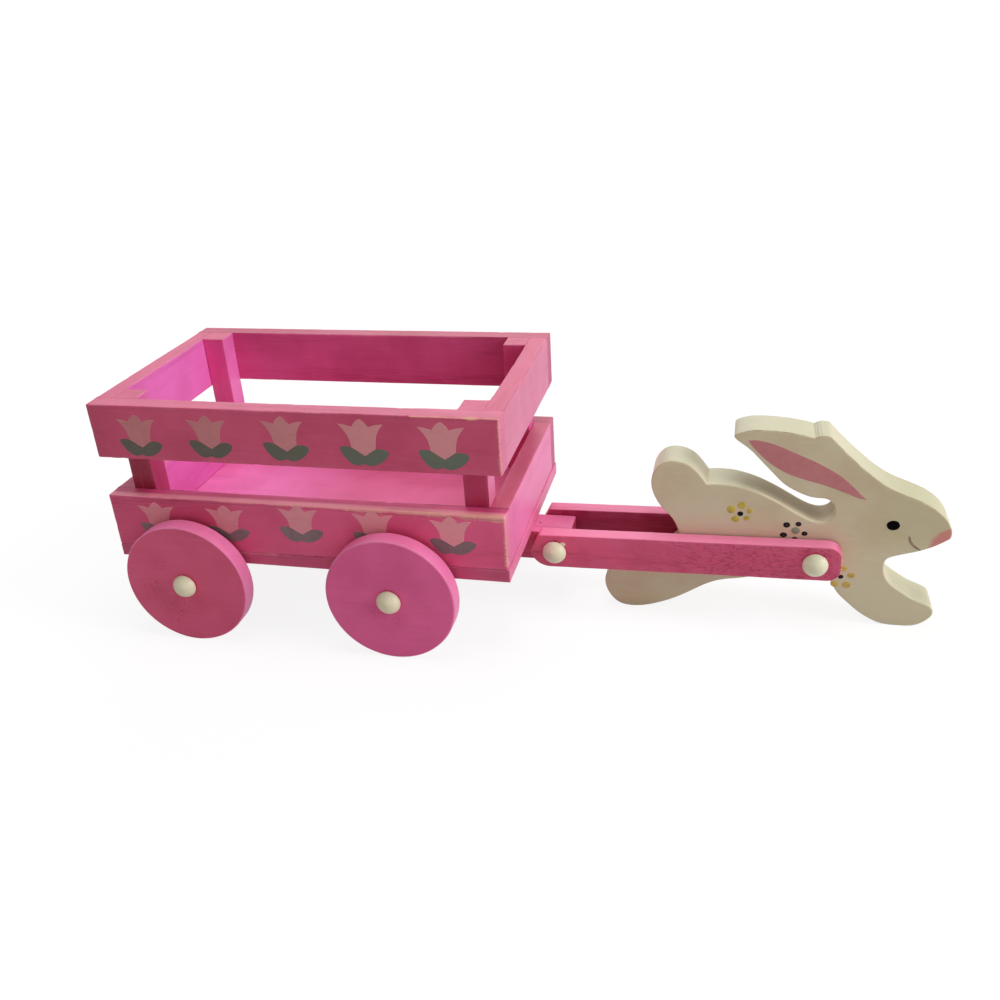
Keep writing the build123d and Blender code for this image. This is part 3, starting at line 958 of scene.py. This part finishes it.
# Thin dark lines along edges: dirt along the front board's top edge and the upper near board's
# front top edge, and painted shade just under the near boards' top edges and along the lower
# near board's inside top edge, in the upper board's shadow.
DIRT_AND_SHADE_LINES = {
    "upper_end_front": (((1, 0, 1), (1, 1, 1), 0.45, 0.9),),
    "upper_side_near": (((0.8, 0, 0.93), (1, 0, 0.95), 0.35, 0.5),
                        ((0, 0, 0.955), (1, 0, 0.955), 0.7, 0.42)),
    "lower_side_near": (((0, 1, 1), (1, 1, 1), 0.9, 0.85),
                        ((0, 0, 0.95), (1, 0, 0.94), 0.9, 0.5)),
}
# A filled seam's width in mm and how full it is. Where along the top of a side board its
# seams from either end stop, and on an end board's those against the posts.
SEAM = (1.6, 1)
SIDE_STOPS, END_STOPS = (0.19, 0.81), (0.16, 0.84)


def seam(start, stop):
    return (start, stop, *SEAM)


def side_seams(y):
    """Where a side board, inside at that share of Y, meets end boards and posts."""
    return [s for x, stop in enumerate(SIDE_STOPS)
            for s in (seam((x, y, 0), (x, y, 1)), seam((x, y, 1), (stop, y, 1)))]


def end_seams(x):
    """Where an end board, outside at that share of X, meets side boards and posts."""
    return [s for y, stop in enumerate(END_STOPS)
            for s in (seam((0, y, 1), (1, y, 1)), seam((x, y, 0), (x, y, 1)),
                      seam((1 - x, y, 1), (1 - x, stop, 1)))]


def board(node, paint, seed, seams, **settings):
    stick(node, paint, seed, "board", rubs=RUBS.get(node, ()), lines=DIRT_AND_SHADE_LINES.get(node, ()),
          seams=seams, **settings)


for level in ("upper", "lower"):
    for y, word in ((1, "near"), (0, "far")):
        node = f"{level}_side_{word}"
        paint = paint_sides.get(f"{level}_{word}", paint_far)
        board(node, paint, len(node) * 1.7, side_seams(y), chip=1, keep=(1,))
    for x, word in enumerate(("rear", "front")):
        node = f"{level}_end_{word}"
        paint = paint_fronts[level] if word == "front" else paint_rear
        board(node, paint, len(node) * 2.3 + 5, end_seams(x))
POST_LIGHT_CHANGE = (UPPER_NEAR[0].z - 2 * MM, UPPER_NEAR[0].z + 3 * MM)
for x, along in enumerate(("rear", "front")):
    for y, across in enumerate(("near", "far")):
        node = f"post_{along}_{across}"
        # Each post has its own lighter or darker copy of the pink, a painted light and shade,
        # and the near rear post's forward face is lighter above the upper board's lower edge,
        # where that board no longer shades it.
        lit = POST_LIT if node == "post_rear_near" else PINKS[node][2]
        paint = pink_paint(f"pink_{node}", "Z", node, 0.3, 0.1, 0.4,
                           ahead_ramp=("Z", *POST_LIGHT_CHANGE, lit))
        stick(node, paint, len(along) + 3.1 * len(across), seams=(
            seam((x, 0, 1), (x, 1, 1)), seam((0, y, 1), (1, y, 1))))
stick("floor_panel", pink_paint("pink_floor", "X", "floor", 0.3, 0.1, 0.3, top_ramp=FLOOR_LIGHT_RAMP),
      41, "board", radius=0.3, chip=0.4, warp=0.08)
for word in ("rear", "front"):
    stick(f"axle_bearer_{word}", paint_under, 50 + len(word))
stick("tongue_block", pink_paint("pink_tongue", "X", "tongue", 0.3, 0.1, 0.4), 61)

for axle in ("rear", "front"):
    for side, word in SIDES:
        seed = 7 * len(axle) + len(word)
        wheel(f"wheel_{axle}_{word}", paint_disc[axle], seed)
        peg(f"wheel_peg_{axle}_{word}", side, CART, seed + 1)

SHAFT_FROM, SHAFT_TO = (corner.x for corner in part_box("shaft_near"))
SHAFT_FADE = (SHAFT_FROM + 0.04, SHAFT_TO - 0.05, 0.14, 0.62)
SHAFT_END_RUB, SHAFT_END_REACH = 0.56, 1.2 * MM


def shaft_marks(points):
    """Rubbed paint at the shaft's two ends."""
    ends = np.minimum(points[:, 0] - SHAFT_FROM, SHAFT_TO - points[:, 0])
    return (("rub", SHAFT_END_RUB * fading(ends, SHAFT_END_REACH)),)


# The far shaft's side that faces the near side takes a painted shade.
paint_shaft = {
    NEAR: pink_paint("pink_shaft", "X", "shaft", 0.4, 0.12, 0.45, 0.3, SHAFT_FADE),
    FAR: pink_paint("pink_far_shaft", "X", "shaft", 0.4, 0.12, 0.45, 0.3, SHAFT_FADE,
                    inner=FAR_SHAFT_SHADED),
}
for side, word in SIDES:
    plate(f"shaft_{word}_bar", f"shaft_{word}", paint_shaft[side], DRAWBAR, PINK, spacing=1.2,
          fill=3.5, seed=80 + side, marks=shaft_marks)
    peg(f"hitch_peg_{word}", side, CART, 90 + side)
    peg(f"rabbit_peg_{word}", side, RABBIT, 95 + side)

brads("frame_brads_painted", "frame_brads", painted_brad, None)
brads("floor_brads_painted", "floor_brads", painted_brad, -1)
brads("bearer_brads_painted", "bearer_brads", painted_brad, 1)
brads("tongue_brad_bare", "tongue_brad", brad_metal("brad_metal"), 1)

# ---- The rabbit ----

# Places on the rabbit are in mm forward of the hind foot and up from the floor.
rabbit_low, rabbit_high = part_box("rabbit")
FOOT_X = rabbit_low.x
# The nose is painted forward of this line: height, then distance. It fades in over 8 mm.
NOSE_LINE = ((39, 175), (41, 150.5), (42.8, 149.2), (48, 150.1), (51.5, 152.6),
             (53.6, 156), (55, 159.5), (64, 166))
NOSE_TURNS = 8
# A dark line along the edge of the ear and the forehead, and its width.
BROW = ((61, 96.5), (63, 98.6), (80, 98.7), (95.9, 96.3), (98, 97.7), (102.2, 97.5),
        (110.6, 90), (120, 79.8), (126, 75.2), (136, 70.2), (146, 64.6), (154, 57))
BROW_WIDTH = 2.2
# The hollow between the back and the ear, and its width.
CHANNEL = ((65.2, 69.8), (70.4, 68.2), (76.1, 65.8), (82.5, 62.4), (90.8, 57.4), (95.3, 55.1),
           (99.5, 53.8), (102.8, 53.8), (105.6, 55.3), (107.3, 59))
CHANNEL_WIDTH = 3.5
# The step behind the ears as it was sawn, in place of the CAD outline's arc there.
EAR_STEP = ((103.89, 95.80), (103.1, 96.7), (102.3, 97.35), (101.2, 97.6), (98.6, 97.66),
            (98, 97.3), (97.4, 97.36), (96.9, 96.8), (96.4, 96.8), (95.95, 96.32))


def smooth_share(values, low, high):
    t = np.clip((values - low) / (high - low), 0, 1)
    return t * t * (3 - 2 * t)


def rabbit_marks(points):
    """The nose, the face's painted shade, the brow's dark line, and the hollow's painted shade
    and painted highlight.
    """
    place = (points[:, [0, 2]] - (FOOT_X, 0)) / MM
    x, z = place[:, 0], place[:, 1]
    heights, line = (np.array(v) for v in zip(*NOSE_LINE))
    nose = np.clip(0.5 + (x - np.interp(z, heights, line)) / NOSE_TURNS, 0, 1)
    shade = smooth_share(x, 105, 140) * smooth_share(z, 36, 52)
    deep = (points[:, 1] - rabbit_low.y) / (rabbit_high.y - rabbit_low.y)
    hollow = beside(place, CHANNEL, CHANNEL_WIDTH) * smooth_share(x, 64, 80)
    hollow *= smooth_share(deep, 0, 0.03)
    lit = 1 - smooth_share(deep, 0.18, 0.4)
    crease = hollow * (1 - lit) * (1 - smooth_share(deep, 0.97, 1))
    return (("nose", nose), ("shade", shade), ("line", beside(place, BROW, BROW_WIDTH)),
            ("crease", crease), ("glint", 0.75 * hollow * lit))


def on_rabbit(points):
    return [(FOOT_X + x * MM, z * MM) for x, z in points]


def ear_step(loop):
    """The rabbit's outline, anticlockwise, with the step behind its ears sawn sharp."""
    loop, step = anticlockwise(loop), np.array(on_rabbit(EAR_STEP))
    first, last = (int(np.argmin(np.linalg.norm(loop - p, axis=1))) for p in (step[0], step[-1]))
    loop = np.roll(loop, -last, 0)
    return np.concatenate([loop[1:(first - last) % len(loop)], step])


plate("rabbit_board", "rabbit", cream_body, RABBIT, CREAM, spacing=0.8, fill=2, seed=70,
      marks=rabbit_marks, uneven=0.2, reshape=ear_step)

EAR_LEAF = ((66.4, 93.9), (71, 94.2), (78.8, 92.3), (89.6, 87.7), (98.2, 83.9),
            (107, 78.9), (113.7, 73.4), (117.6, 69.4), (120.6, 66.6), (116.3, 67.6),
            (109.1, 70.4), (101.2, 73.2), (91.9, 75.7), (84.7, 78.2), (78.8, 81.6),
            (73.5, 85.9), (69.3, 90.2))
EAR_CORNERS = (0, 8)
# The mouth's line, and half its width at each point.
MOUTH = ((140.8, 48.8), (141.4, 46.6), (142.6, 44.8), (144.4, 43.3), (146.4, 42.2))
MOUTH_HALF = (0.4, 0.56, 0.58, 0.48, 0.28)
# A dab's place, half width, half height and height. A flower's petals leave out the last.
EYE = (133.2, 54.3, 2.9, 2.5, 0.3)
PETAL_HEIGHT, HEART_HEIGHT, HEART_SQUASH = 0.22, 0.26, 0.88
# Each flower: its name, petals' and heart's colours, heart's place and size, and petals.
FLOWERS = (
    ("yellow", FLOWER_YELLOW, EYE_BLACK, (64.7, 56.1), 1.4,
     ((60.5, 58.2, 2.1, 2.1), (65.3, 60.6, 2, 1.9), (69.1, 58, 1.5, 1.4),
      (67.8, 53.9, 1.5, 1.3), (62.7, 53.2, 2, 1.6))),
    ("navy", FLOWER_NAVY, FLOWER_GREY, (90.5, 48.7), 2,
     ((86.2, 51.5, 1.6, 1.45), (91.5, 52.3, 1.35, 1.2), (94.6, 47.4, 1.4, 1.15),
      (90.3, 44.1, 1.4, 1.3), (85.1, 46.1, 1.6, 1.35))),
    ("orange", FLOWER_ORANGE, FLOWER_NAVY, (112.8, 25.2), 1.25,
     ((113.5, 29.8, 1.9, 1.5), (117.4, 26.4, 1.8, 1.5), (115.7, 21, 2, 1.7),
      (110.3, 21.1, 1.9, 1.6), (108.6, 26, 1.8, 1.6))),
)
# Dots on the navy flower's petals: off the petal's middle, then as a dab.
DOT_OFF = (0.1, -0.05)
DOT = (0.42, 0.36, 0.3)


def ribbon(points, halves):
    """The outline of a brush line that swells and tapers."""
    line = [Vector(p) for p in points]
    left, right = [], []
    for i, p in enumerate(line):
        way = (line[min(i + 1, len(line) - 1)] - line[max(i - 1, 0)]).normalized()
        off = Vector((-way.y, way.x)) * halves[i]
        left.append(tuple(p + off))
        right.append(tuple(p - off))
    return left + right[::-1]


def rabbit_dabs(name, spots, paint):
    """The same dabs on both faces of the rabbit."""
    placed = [(FOOT_X + x * MM, z * MM, *size) for x, z, *size in spots]
    for side, word in SIDES:
        dabs(f"{name}_{word}", placed, "rabbit", side, paint, RABBIT)


ear_paint = dab_paint("ear_pink_paint", EAR_PINK, EAR_THIN, grain=0.3)
eye_paint = dab_paint("eye_black_paint", EYE_BLACK, EYE_THIN, 0.5, 0.03, 0)
mouth_paint = dab_paint("mouth_line_paint", MOUTH_BROWN)
dot_paint = dab_paint("navy_dot_paint", DOT_MAUVE, gloss=0.12)
leaf = smooth_loop(on_rabbit(EAR_LEAF), EAR_CORNERS)
smile = smooth_loop(on_rabbit(ribbon(MOUTH, MOUTH_HALF)), per=3)
for side, word in SIDES:
    film(f"ear_leaf_{word}", [leaf], "rabbit", side, ear_paint, RABBIT)
    film(f"mouth_line_{word}", [smile], "rabbit", side, mouth_paint, RABBIT, soft=0.08)
rabbit_dabs("eye", [EYE], eye_paint)
for kind, petal_colour, heart_colour, middle, heart, petals in FLOWERS:
    rabbit_dabs(f"{kind}_petals", [(*petal, PETAL_HEIGHT) for petal in petals],
                dab_paint(f"{kind}_petal_paint", petal_colour, gloss=0.12))
    rabbit_dabs(f"{kind}_heart", [(*middle, heart, heart * HEART_SQUASH, HEART_HEIGHT)],
                dab_paint(f"{kind}_heart_paint", heart_colour, gloss=0.12))
    if kind == "navy":
        dots = [(x + DOT_OFF[0], z + DOT_OFF[1], *DOT) for x, z, *_ in petals]
        rabbit_dabs("navy_dots", dots, dot_paint)

# A drip of cream paint beside the near hitch peg: off its middle, then as a dab.
DRIP_OFF = (4 * MM, 4.2 * MM)
DRIP = (1.5, 1.1, 0.25)
hitch = middle_of("hitch_peg_near")
dabs("paint_drip_near", [(hitch.x + DRIP_OFF[0], hitch.z + DRIP_OFF[1], *DRIP)], "shaft_near",
     NEAR, cream_peg, DRAWBAR)

# ---- Tulip stencils on the side boards ----

# Millimetres from the point of the V under the flower.
TULIP = ((-11.5, 15.3), (-8.4, 14.9), (-4.9, 14), (-3.2, 16.4), (-0.9, 17.8), (1.2, 16.4),
         (2.9, 14.1), (6, 15.1), (9.9, 15.6), (7.4, 12.3), (6, 8.8), (5.3, 3.6), (0, 0),
         (-6.1, 4), (-7, 8.6), (-9.1, 12.4))
TULIP_CORNERS = (0, 2, 6, 8, 11, 12, 13)
LEAVES = ((-6.3, 4.1), (0, 0), (5.2, 3.4), (8.6, 3.7), (11.2, 2.3), (10.9, 0.6),
          (9, -1.8), (5.5, -4.1), (2, -4.8), (-0.9, -4), (-4, -4.8), (-7, -3.9),
          (-9.6, -1.2), (-11.6, 2.4), (-11.2, 4), (-8.8, 4.5))
LEAF_CORNERS = (0, 1, 2, 9)
# Each flower: distance from the box's rear and height of the V's point, mm, and scale
# each way.
TULIPS = {
    "upper": ((25.3, 100.4, 0.95, 0.93), (61.6, 101.2, 0.95, 0.94), (99.5, 101.6, 0.97, 0.97),
              (137.3, 101.2, 1, 1), (174.4, 101.1, 1, 1)),
    "lower": ((25.2, 55.9, 0.93, 0.86), (62, 56.3, 0.95, 0.86), (100.3, 58.5, 0.96, 0.87),
              (137.5, 58.2, 0.96, 0.87), (174.9, 57.3, 0.95, 0.87)),
}
# Each level's paints, for blooms and leaves: name, colour, where thin, further forward. The
# lower row's are lighter copies, and further forward the colour is lighter: both are painted
# light.
STENCILS = {
    "upper": (("tulip_pink_paint", (212, 132, 136), (204, 126, 130), (238, 158, 164)),
              ("tulip_leaf_paint", (95, 87, 74), (84, 84, 70), (104, 113, 96))),
    "lower": (("tulip_pale_paint", (238, 150, 162), (228, 138, 150), (250, 164, 174)),
              ("tulip_pale_leaf_paint", (140, 114, 118), (128, 104, 108), None)),
}
FORWARD_LIGHT_FROM_TO = (BOX_REAR + 0.05, BOX_REAR + 0.17)
# Pieces of a row: name, outline, its corners and the paint's thickness in mm.
ROW_PIECES = (("tulips", TULIP, TULIP_CORNERS, 0.07),
              ("tulip_leaves", LEAVES, LEAF_CORNERS, 0.05))
for level, flowers in TULIPS.items():
    for (part, shape, corners, thick), stencil in zip(ROW_PIECES, STENCILS[level]):
        name, colour, thin, ahead = stencil
        paint = dab_paint(name, colour, thin, grain=0.35,
                          ramp=ahead and ("X", *FORWARD_LIGHT_FROM_TO, ahead))
        row = [smooth_loop([(BOX_REAR + (x0 + x * wide) * MM, (z0 + z * tall) * MM)
                            for x, z in shape], corners) for x0, z0, wide, tall in flowers]
        for side, word in SIDES:
            film(f"{part}_{level}_{word}", row, f"{level}_side_{word}", side, paint, CART, thick)

# ---- Floor, light and camera ----

WHITE = (1, 1, 1, 1)
# The floor's own grey, and what of it takes a shadow where it shows as white.
FLOOR_GREY = (0.64, 0.64, 0.64, 1)
SHADOW_GREY = (0.16, 0.16, 0.16, 1)
# The floor glows up to white from one distance to the other, less near the cart.
GLOW_FROM, GLOW_TO, GLOW_LEAST = 0.2, 1.1, 0.875
FLOOR_HALF = 4


def white_ground():
    """Pale floor: white to the camera, with the object's shadow kept on it."""
    s = material("white_ground")
    plain = s.add("BsdfDiffuse", {"Color": FLOOR_GREY})
    shadowed = s.add("BsdfDiffuse", {"Color": SHADOW_GREY})
    away = s.add("VectorMath", {0: s.place()}, 1, operation="LENGTH")
    level = s.add("MapRange", {"Value": away, "From Min": GLOW_FROM, "From Max": GLOW_TO,
                               "To Min": GLOW_LEAST})
    glow = s.add("Emission", {"Color": WHITE, "Strength": level})
    lit = s.add("AddShader", {0: shadowed, 1: glow})
    surface = s.add("MixShader", {0: s.plain_rays(), 1: plain, 2: lit})
    s.add("OutputMaterial", {"Surface": surface})
    return s.owner


floor_mesh = bpy.data.meshes.new("ground")
corners = [(x * FLOOR_HALF, y * FLOOR_HALF, 0) for x, y in ((-1, -1), (1, -1), (1, 1), (-1, 1))]
floor_mesh.from_pydata(corners, [], [(0, 1, 2, 3)])
floor_mesh.materials.append(white_ground())
added("ground", floor_mesh)

WORLD_LIGHT = (1, 0.93, 0.9, 1)
WORLD_STRENGTH = 0.28
world = Shade(bpy.data.worlds.new("studio"))
ambient = world.add("Background", {"Color": WORLD_LIGHT, "Strength": WORLD_STRENGTH})
white = world.add("Background", {"Color": WHITE, "Strength": 1})
sky = world.add("MixShader", {0: world.plain_rays(), 1: ambient, 2: white})
world.add("OutputWorld", {"Surface": sky})
bpy.context.scene.world = world.owner

# Each lamp: its place, width, watts and colour. All aim at the cart's middle.
LAMPS = {
    "key": ((1.7, -0.22, 0.95), 0.9, 19, (1, 0.985, 1)),
    "top": ((0.05, 0.1, 1.9), 1.2, 13, (1, 0.98, 0.97)),
    "back": ((-0.35, 1.7, 1.05), 1.6, 5, (1, 0.98, 0.98)),
}
LAMPS_AIM = Vector((0, 0, 0.05))
for name, (place, size, watts, colour) in LAMPS.items():
    light = bpy.data.lights.new(name, "AREA")
    light.shape = "DISK"
    light.size = size
    light.energy = watts
    light.color = colour
    lamp = added(name, light)
    lamp.location = place
    lamp.rotation_mode = "QUATERNION"
    lamp.rotation_quaternion = (LAMPS_AIM - Vector(place)).to_track_quat("-Z", "Y")

# The camera, solved from the corners, wheel rims and peg heads in the photograph.
PHOTO_PX, FOCAL_PX = 1000.0, 1009.20
SENSOR_MM = 36
CAMERA_AT = Vector((0.10209, -0.44446, 0.28371))
YAW, PITCH, ROLL = (math.radians(v) for v in (-14.821, 26.779, -3.697))
camera_data = bpy.data.cameras.new("camera")
camera_data.sensor_width = SENSOR_MM
camera_data.lens = FOCAL_PX * SENSOR_MM / PHOTO_PX
camera_data.clip_start = 0.01
camera = added("camera", camera_data)
camera.matrix_world = Matrix.Translation(CAMERA_AT)
for angle, axis in ((-YAW, "Z"), (math.pi / 2 - PITCH, "X"), (ROLL, "Z")):
    camera.matrix_world @= Matrix.Rotation(angle, 4, axis)
bpy.context.scene.camera = camera
bpy.context.scene.view_settings.view_transform = "Standard"

bpy.context.view_layer.update()
